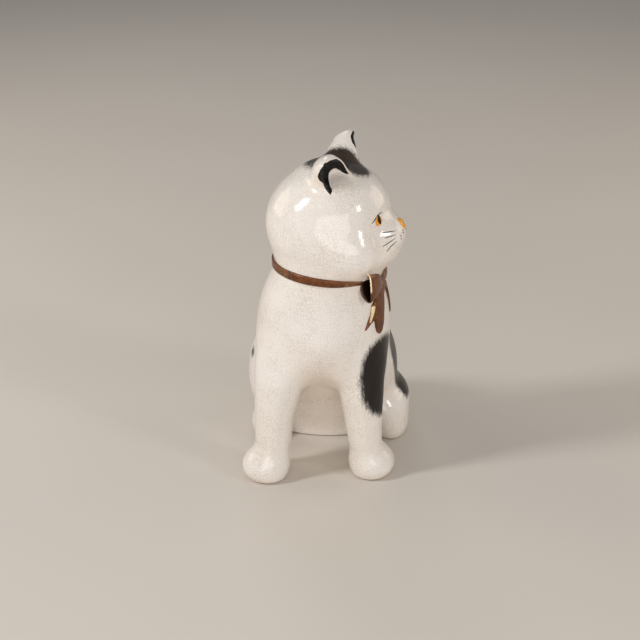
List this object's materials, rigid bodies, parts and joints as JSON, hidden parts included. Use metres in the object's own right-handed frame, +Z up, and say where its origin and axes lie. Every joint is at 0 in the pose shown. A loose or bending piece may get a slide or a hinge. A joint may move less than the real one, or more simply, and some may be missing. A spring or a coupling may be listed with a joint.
{
  "type": "ceramic cat figurine",
  "caption": "Seated cat figurine in crackle-glazed ceramic, head turned to one side, with a lustre ribbon and bow round its neck.",
  "frame": {"origin": "on the resting plane, at the centre of the figure's footprint box", "axes": "+Z up, through the figure's height; the chest and forelegs face -Y; the face looks towards +X, turned 17 degrees towards -Y"},
  "size_m": [0.1298, 0.1566, 0.2533],
  "materials": {
    "crackle_glaze": "glossy cream glaze with a fine tan crackle, black patches on the crown, ears, shoulder and haunch",
    "bronze_lustre": "metallic brown bronze lustre with gold edges",
    "eye_enamel": "amber enamel with a black slit pupil and lid line",
    "nose_enamel": "orange enamel, glossy"
  },
  "bodies": {
    "root": {"body_shell": "crackle_glaze", "head_shell": "crackle_glaze", "right_foreleg": "crackle_glaze", "left_foreleg": "crackle_glaze", "left_hind_foot": "crackle_glaze", "right_hind_foot": "crackle_glaze", "tail": "crackle_glaze", "left_ear": "crackle_glaze", "right_ear": "crackle_glaze", "collar_ribbon": "bronze_lustre", "bow_knot": "bronze_lustre", "bow_loop_left": "bronze_lustre", "bow_loop_right": "bronze_lustre", "bow_tail_left": "bronze_lustre", "bow_tail_right": "bronze_lustre", "left_eye": "eye_enamel", "right_eye": "eye_enamel", "nose": "nose_enamel"}
  },
  "joints": []
}
